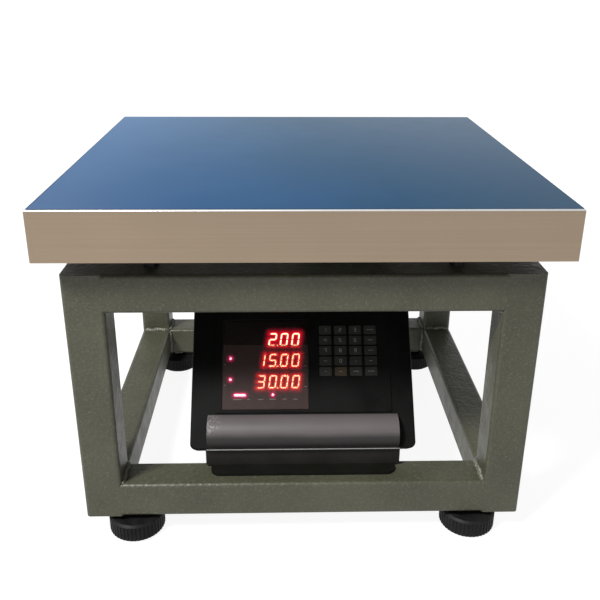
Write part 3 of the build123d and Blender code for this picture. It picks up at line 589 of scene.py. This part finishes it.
def lit_outlines(thickness, point_radius, bare):
    """The outline of every lit bar and decimal point, above the window's film or behind it."""
    outlines = []
    for character, centre_x, centre_s in digit_places():
        if (centre_s > WINDOW_FILM_TOP) == bare:
            for name in LIT_BARS[character]:
                outlines.append([lean(point, centre_x, centre_s) for point in bar_outline(name, thickness)])
    for point_x, point_s, centre_s in point_places():
        if (centre_s > WINDOW_FILM_TOP) == bare:
            outlines.append(dot_outline(point_x, point_s, point_radius))
    return outlines


LAMPS = ((-80.7, 99.6), (-80.6, 76.0), (-33.2, 59.0))
LAMP_R, LAMP_CORE_SHARE = 1.8, 0.62
BAR_LAMP_X, BAR_LAMP_S, BAR_LAMP_HALF, BAR_LAMP_R = -69.7, 58.7, 5.4, 1.7


def lamp_outlines(share):
    """Round lamps and one long lamp, at a share of their full thickness."""
    radius = BAR_LAMP_R * share
    ends = []
    for side in (1, -1):
        for step in range(7):
            angle = pi * step / 6 - pi / 2
            ends.append((
                BAR_LAMP_X + side * (BAR_LAMP_HALF + radius * cos(angle)),
                BAR_LAMP_S + side * radius * sin(angle),
            ))
    return [dot_outline(*lamp, LAMP_R * share) for lamp in LAMPS] + [ends]


def build_display():
    """Lit bars and lamps: a red slab with a narrower, whiter one on it."""
    layers = (
        ("digit_bars", lit_outlines(BAR_T, POINT_R, False), 0.0, BAR_EDGE),
        ("digit_bar_cores", lit_outlines(CORE_T, POINT_CORE_R, False), CORE_LIFT, BAR_CORE),
        ("top_digit_bars", lit_outlines(BAR_T, POINT_R, True), 0.0, BARE_BAR_EDGE),
        ("top_digit_bar_cores", lit_outlines(CORE_T, POINT_CORE_R, True), CORE_LIFT, BARE_BAR_CORE),
        ("lamp_rims", lamp_outlines(1.0), 0.0, LAMP_EDGE),
        ("lamp_cores", lamp_outlines(LAMP_CORE_SHARE), CORE_LIFT, LAMP_CORE),
    )
    for name, outlines, lift, material in layers:
        shape = bmesh.new()
        for outline in outlines:
            slab(shape, outline, BAR_Z - BAR_DEPTH, BAR_Z + lift)
        piece(name, to_mesh(name, shape), material)


def gap_to_run(point, start, end):
    """Distance from a point to a straight run, in the panel's plane."""
    run = end - start
    share = max(0.0, min(1.0, (point - start).dot(run) / max(run.length_squared, 1e-9)))
    return (point - start - run * share).length


DIFFUSER_LEFT, DIFFUSER_RIGHT, DIFFUSER_LOW, DIFFUSER_HIGH = -89.0, 6.6, 42.4, 142.0
DIFFUSER_CELL, DIFFUSER_DEPTH, DIFFUSER_T = 0.8, 0.34, 0.03
GLOW_REACH, LAMP_REACH, BARE_SHARE = 8.0, 6.5, 0.7


def build_diffuser():
    """A fine grid behind the bars. Each point knows how near it is to a lit bar and to a lamp."""
    runs = []
    for character, centre_x, centre_s in digit_places():
        for name in LIT_BARS[character]:
            runs.append([lean(point, centre_x, centre_s) for point in bar_ends(name)])
    lamps = [(Vector(lamp), Vector(lamp)) for lamp in LAMPS]
    lamps.append((
        Vector((BAR_LAMP_X - BAR_LAMP_HALF, BAR_LAMP_S)), Vector((BAR_LAMP_X + BAR_LAMP_HALF, BAR_LAMP_S)),
    ))
    columns = round((DIFFUSER_RIGHT - DIFFUSER_LEFT) / DIFFUSER_CELL)
    rows = round((DIFFUSER_HIGH - DIFFUSER_LOW) / DIFFUSER_CELL)
    shape = bmesh.new()
    near_bar = shape.verts.layers.float.new("near_bar")
    near_lamp = shape.verts.layers.float.new("near_lamp")
    grid = []
    for row in range(rows + 1):
        line = []
        for column in range(columns + 1):
            x = DIFFUSER_LEFT + (DIFFUSER_RIGHT - DIFFUSER_LEFT) * column / columns
            s = DIFFUSER_LOW + (DIFFUSER_HIGH - DIFFUSER_LOW) * row / rows
            vertex = shape.verts.new(on_panel(x, s, BAR_Z - DIFFUSER_DEPTH))
            spot = Vector((x, s))
            strength = 1.0 if s < WINDOW_FILM_TOP else BARE_SHARE
            to_bar = min(gap_to_run(spot, *run) for run in runs)
            to_lamp = min(gap_to_run(spot, *run) for run in lamps)
            vertex[near_bar] = strength * max(0.0, 1 - to_bar / GLOW_REACH)
            vertex[near_lamp] = max(0.0, 1 - to_lamp / LAMP_REACH)
            line.append(vertex)
        grid.append(line)
    for low, high in zip(grid, grid[1:]):
        for column in range(columns):
            shape.faces.new((low[column], low[column + 1], high[column + 1], high[column]))
    sheet = piece("display_diffuser", to_mesh("display_diffuser", shape), DIFFUSER)
    thickness = sheet.modifiers.new("thickness", "SOLIDIFY")
    thickness.thickness = DIFFUSER_T * MM
    thickness.offset = -1


# --- Keypad legends and printed marks -----------------------------------------------------------

KEY_ROWS = (
    ("1", "2", "3", "memory"),
    ("4", "5", "6", "recall"),
    ("7", "8", "9", "total"),
    ("clear", "0", "point", "back"),
    ("zero", "tare", "hold", "enter"),
)
KEYPAD_X, KEYPAD_S, KEY_PITCH_X, KEY_PITCH_S, KEY_TOP = 51.5, 107.1, 17.0, 11.75, 2.3
LEGEND_LIFT, LEGEND_SINK, FIGURE_W, FIGURE_H = 0.06, 0.1, 2.2, 3.6
DASH_PITCH, DASH_HALF_W, DASH_HALF_H = 1.9, 0.65, 0.3


def key_centre(row, column):
    """The middle of one key, across the panel and up it."""
    return KEYPAD_X + (column - 1.5) * KEY_PITCH_X, KEYPAD_S + (2 - row) * KEY_PITCH_S


def digit_strokes(character, width, height):
    """Outlines of a plain stroke-built figure, centred on (0, 0)."""
    bars = {
        "0": "abcdef", "1": "bc", "2": "abged", "3": "abgcd", "4": "fgbc",
        "5": "afgcd", "6": "afgedc", "7": "abc", "8": "abcdefg", "9": "abcdfg",
    }[character]
    stroke = 0.22
    half_w, half_h = width / 2, height / 2
    spots = {
        "a": (0, half_h, half_w, stroke), "g": (0, 0, half_w, stroke), "d": (0, -half_h, half_w, stroke),
        "f": (-half_w, half_h / 2, stroke, half_h / 2), "b": (half_w, half_h / 2, stroke, half_h / 2),
        "e": (-half_w, -half_h / 2, stroke, half_h / 2), "c": (half_w, -half_h / 2, stroke, half_h / 2),
    }
    return [rectangle(*spots[bar]) for bar in bars]


def rectangle(centre_x, centre_s, half_w, half_h):
    """The corners of a rectangle, from its middle and its half sizes."""
    return [
        (centre_x - half_w, centre_s - half_h), (centre_x + half_w, centre_s - half_h),
        (centre_x + half_w, centre_s + half_h), (centre_x - half_w, centre_s + half_h),
    ]


def function_marks(name):
    """Short dashes that stand for a function key's wording."""
    if name == "point":
        return [rectangle(0, -0.6, 0.4, 0.4)]
    count = {
        "memory": 4, "recall": 3, "total": 3, "clear": 2, "back": 2,
        "zero": 1, "tare": 2, "hold": 3, "enter": 4,
    }[name]
    middles = [(place - (count - 1) / 2) * DASH_PITCH for place in range(count)]
    return [rectangle(middle, 0, DASH_HALF_W, DASH_HALF_H) for middle in middles]


def build_legends():
    """One printed legend on each key. It rides on its key."""
    for row, names in enumerate(KEY_ROWS):
        for column, name in enumerate(names):
            centre_x, centre_s = key_centre(row, column)
            outlines = digit_strokes(name, FIGURE_W, FIGURE_H) if name.isdigit() else function_marks(name)
            shape = bmesh.new()
            for outline in outlines:
                placed = [(centre_x + x, centre_s + s) for x, s in outline]
                slab(shape, placed, KEY_TOP - LEGEND_SINK, KEY_TOP + LEGEND_LIFT)
            piece(f"legend_{name}", to_mesh(f"legend_{name}", shape), LEGEND, f"key_{name}")


WINDOW_TOP = 1.5
WINDOW_LEFT, WINDOW_RIGHT, WINDOW_LOW, WINDOW_FILM_TOP = -88.6, 6.2, 42.6, 114.0
MARK_LOW, MARK_HIGH, MARK_HALF_H = 0.15, 0.2, 0.35
FILM_LOW, FILM_HIGH = 0.02, 0.14

# Printed dashes, as (middle across, half width), and the rows that have a dash at either side.
FOOT_MARKS_S = 53.4
FOOT_MARKS = ((-72, 5), (-60, 1.5), (-46.5, 3), (-33.2, 3.5), (-20, 2), (-8, 2.4))
SIDE_MARK_ROWS = (92, 69)


def build_window_marks():
    """Small dashes under and beside the readings, and the clear film left on the window's lower part."""
    places = [(centre_x, FOOT_MARKS_S, half) for centre_x, half in FOOT_MARKS]
    for row_s in SIDE_MARK_ROWS:
        places += [(-86.3, row_s, 1.1), (3.3, row_s - 2, 1.4)]
    marks = bmesh.new()
    for centre_x, centre_s, half in places:
        outline = rectangle(centre_x, centre_s, half, MARK_HALF_H)
        slab(marks, outline, WINDOW_TOP + MARK_LOW, WINDOW_TOP + MARK_HIGH)
    piece("window_marks", to_mesh("window_marks", marks), MARK)
    film = bmesh.new()
    centre_x, centre_s = (WINDOW_LEFT + WINDOW_RIGHT) / 2, (WINDOW_LOW + WINDOW_FILM_TOP) / 2
    half_w, half_h = (WINDOW_RIGHT - WINDOW_LEFT) / 2, (WINDOW_FILM_TOP - WINDOW_LOW) / 2
    slab(film, rectangle(centre_x, centre_s, half_w, half_h), WINDOW_TOP + FILM_LOW, WINDOW_TOP + FILM_HIGH)
    piece("window_film", to_mesh("window_film", film), WINDOW_FILM)


# --- Welds and a painted edge highlight ---------------------------------------------------------

LEG_INNER_X, LEG_INNER_Y = 193.0, 162.0
FRAME_X, FRAME_Y = 233.0, 202.0
RAIL_LEVELS = ((28.0, 68.0), (268.0, 308.0))
BEAD_R, BEAD_SIDES, BEAD_WANDER = 2.9, 10, 0.45
RIPPLE_PITCH, RINGS_PER_RIPPLE = 2.6, 6

# Off the corner line, short of the frame's outer face, into the leg, and clear of a rail's faces.
BEAD_OFF, BEAD_SHORT, BEAD_INTO, BEAD_CLEAR = 0.6, 3.0, 1.0, 2.0


def bead(shape, start, end, wobble=0.0):
    """Adds a rippled weld bead from start to end, in millimetres, as a closed tube of many rings."""
    start, end = Vector(start), Vector(end)
    run = end - start
    ahead = run.normalized()
    side = ahead.orthogonal().normalized()
    other = ahead.cross(side)
    rings = max(8, int(run.length / RIPPLE_PITCH * RINGS_PER_RIPPLE))
    before = None
    for step in range(rings + 1):
        share = step / rings
        phase = share * run.length / RIPPLE_PITCH
        swell = sin(phase * 0.9 + wobble) * sin(phase * 0.37 + wobble * 2)
        ripple = 1 + 0.22 * (phase % 1.0) + 0.18 * swell
        taper = min(1.0, 0.45 + 4 * min(share, 1 - share))
        radius = BEAD_R * ripple * taper
        wander = side * sin(phase * 0.83 + wobble * 3) + other * sin(phase * 0.61 + wobble)
        centre = start + run * share + wander * BEAD_WANDER
        ring = []
        for turn in range(BEAD_SIDES):
            angle = 2 * pi * turn / BEAD_SIDES
            spot = centre + side * radius * cos(angle) + other * radius * sin(angle)
            ring.append(shape.verts.new(spot * MM))
        if before:
            for turn in range(BEAD_SIDES):
                after = (turn + 1) % BEAD_SIDES
                shape.faces.new((before[turn], before[after], ring[after], ring[turn]))
        else:
            shape.faces.new(ring[::-1])
        before = ring
    shape.faces.new(before)


def build_weld_beads():
    """Fillet beads in the frame's inner corners, where rails meet legs."""
    shape = bmesh.new()
    count = 0
    for low, high in RAIL_LEVELS:
        is_lower = low < RAIL_LEVELS[1][0]
        bead_z = high + BEAD_OFF if is_lower else low - BEAD_OFF
        for side_x in (-1, 1):
            for side_y in (-1, 1):
                count += 1
                x, y = side_x * LEG_INNER_X, side_y * LEG_INNER_Y
                bead_x, bead_y = x - side_x * BEAD_OFF, y - side_y * BEAD_OFF
                outer_x, outer_y = side_x * (FRAME_X - BEAD_SHORT), side_y * (FRAME_Y - BEAD_SHORT)
                end_x, end_y = x + side_x * BEAD_INTO, y + side_y * BEAD_INTO
                bead(shape, (bead_x, outer_y, bead_z), (bead_x, end_y, bead_z), count)
                bead(shape, (outer_x, bead_y, bead_z), (end_x, bead_y, bead_z), count + 0.5)
                bead(shape, (bead_x, bead_y, low + BEAD_CLEAR), (bead_x, bead_y, high - BEAD_CLEAR), count + 0.7)
    piece("weld_beads", to_mesh("weld_beads", shape), WELD_PAINT_WITH_GLINTS, smooth=True)


TUBE_HALF, TUBE_CORNER = 20.0, 4.0

# The rings of a ground weld, as (how far into the leg, how far outside the tube).
WELD_PROFILE = ((-1.2, -0.05), (-0.48, 0.09), (1.5, 0.07), (4.3, 0.02))


def collar_ring(middle_w, middle_z, grow):
    """Points round a rail's section, larger than the tube itself by grow."""
    half = TUBE_HALF - TUBE_CORNER
    radius = TUBE_CORNER + grow
    points = []
    for quarter, (side_w, side_z) in enumerate(((1, 1), (-1, 1), (-1, -1), (1, -1))):
        for step in range(6):
            angle = (quarter + step / 5) * pi / 2
            w = middle_w + side_w * half + radius * cos(angle)
            points.append((w, middle_z + side_z * half + radius * sin(angle)))
    return points


def add_collar(shape, across, side_x, side_y, middle_z):
    """One ground weld: a thin ring round the end of a rail that runs across, or from front to back."""
    corner = LEG_INNER_X if across else LEG_INNER_Y
    middle_w = side_y * (FRAME_Y - TUBE_HALF) if across else side_x * (FRAME_X - TUBE_HALF)
    rings = []
    for reach, grow in WELD_PROFILE:
        along = (side_x if across else side_y) * (corner + reach)
        ring = []
        for w, z in collar_ring(middle_w, middle_z, grow):
            at = (along, w, z) if across else (w, along, z)
            ring.append(shape.verts.new(Vector(at) * MM))
        rings.append(ring)
    for before, after in zip(rings, rings[1:]):
        for index in range(len(before)):
            following = (index + 1) % len(before)
            shape.faces.new((before[index], before[following], after[following], after[index]))
    shape.faces.new(rings[0])
    shape.faces.new(rings[-1][::-1])


def build_ground_welds():
    """Butt welds round every rail's ends, ground nearly flush, over the gap at the legs' round corners."""
    shape = bmesh.new()
    for low, high in RAIL_LEVELS:
        for side_x in (-1, 1):
            for side_y in (-1, 1):
                for across in (True, False):
                    add_collar(shape, across, side_x, side_y, (low + high) / 2)
    piece("ground_welds", to_mesh("ground_welds", shape), PAINT)


# Size and place of the painted highlight strip, in panel millimetres.
STRIP_HALF, STRIP_LOW, STRIP_HIGH, STRIP_BACK, STRIP_FRONT = 105.0, -0.7, 0.4, -1.6, 0.8


def build_edge_highlight_strip():
    """Thin light grey strip under the half-round strip, along the moulding's lower edge: a painted highlight on
    that edge.
    """
    shape = bmesh.new()
    outline = [(-STRIP_HALF, STRIP_LOW), (STRIP_HALF, STRIP_LOW), (STRIP_HALF, STRIP_HIGH), (-STRIP_HALF, STRIP_HIGH)]
    slab(shape, outline, STRIP_BACK, STRIP_FRONT)
    strip = piece("edge_highlight_strip", to_mesh("edge_highlight_strip", shape), EDGE_HIGHLIGHT_GREY)
    bevel = strip.modifiers.new("bevel", "BEVEL")
    bevel.width = 0.25 * MM
    bevel.segments = 2


# --- The stage ----------------------------------------------------------------------------------


def area_light(name, at, aim, size, power):
    """A rectangular light at one place, pointed at another."""
    light = bpy.data.lights.new(name, "AREA")
    light.shape = "RECTANGLE"
    light.size, light.size_y = size
    light.energy = power
    made = bpy.data.objects.new(name, light)
    made.location = at
    made.rotation_euler = (Vector(aim) - Vector(at)).to_track_quat("-Z", "Y").to_euler()
    bpy.context.scene.collection.objects.link(made)


# Brightness of the sky: from the horizon to overhead, and from the side to the back.
SKY_BY_HEIGHT = ((0.0, 1.0), (0.34, 1.0), (0.55, 0.42), (1.0, 0.6))
SKY_BY_DEPTH = ((0.0, 0.78), (0.3, 1.0), (1.0, 1.0))
SKY_STRENGTH = 1.1


def sky():
    """White round the horizon and dimmer overhead, and dimmer in front of the object than behind it."""
    world = bpy.data.worlds.new("studio")
    world.use_nodes = True
    nodes, links = world.node_tree.nodes, world.node_tree.links
    toward = nodes.new("ShaderNodeSeparateXYZ")
    links.new(nodes.new("ShaderNodeTexCoord").outputs["Generated"], toward.inputs["Vector"])
    shades = []
    for axis, stops in (("Z", SKY_BY_HEIGHT), ("Y", SKY_BY_DEPTH)):
        shade = nodes.new("ShaderNodeValToRGB")
        elements = shade.color_ramp.elements
        while len(elements) < len(stops):
            elements.new(0.5)
        for element, (position, level) in zip(elements, stops):
            element.position = position
            element.color = (level, level, level, 1.0)
        links.new(toward.outputs[axis], shade.inputs["Fac"])
        shades.append(shade)
    both = nodes.new("ShaderNodeMix")
    both.data_type, both.blend_type = "RGBA", "MULTIPLY"
    both.inputs[0].default_value = 1.0
    for socket, shade in zip((both.inputs[6], both.inputs[7]), shades):
        links.new(shade.outputs["Color"], socket)
    background = nodes["Background"]
    links.new(both.outputs[2], background.inputs["Color"])
    background.inputs["Strength"].default_value = SKY_STRENGTH
    return world


FLOOR_HALF, FLOOR_GLOW = 6, 0.9
LIGHT_AT, LIGHT_AIM, LIGHT_SIZE, LIGHT_POWER = (-1.35, -1.35, 2.3), (0, 0, 0.15), (0.6, 0.6), 165


def build_stage():
    """Pale floor, one soft lamp high on the front left, and the sky."""
    shape = bmesh.new()
    bmesh.ops.create_grid(shape, x_segments=1, y_segments=1, size=FLOOR_HALF)
    floor = bpy.data.objects.new("floor", to_mesh("floor", shape))
    bpy.context.scene.collection.objects.link(floor)
    stage = Finish("floor", (0.12, 0.12, 0.12), 0.7, Specular_IOR_Level=0.2)
    stage.set("Emission Color", (1.0, 1.0, 1.0, 1.0))
    stage.set("Emission Strength", FLOOR_GLOW)
    stage.colour(stage.ramp(stage.noise(2, 3.0), (0.3, (0.115, 0.115, 0.115)), (0.7, (0.125, 0.125, 0.125))))
    floor.data.materials.append(stage.material)
    bpy.context.scene.world = sky()
    bpy.context.scene.view_settings.view_transform = "Standard"
    area_light("key_light", LIGHT_AT, LIGHT_AIM, LIGHT_SIZE, LIGHT_POWER)


add_camera()
finish_cad_nodes()
build_display()
build_diffuser()
build_legends()
build_window_marks()
build_weld_beads()
build_ground_welds()
build_edge_highlight_strip()
build_stage()
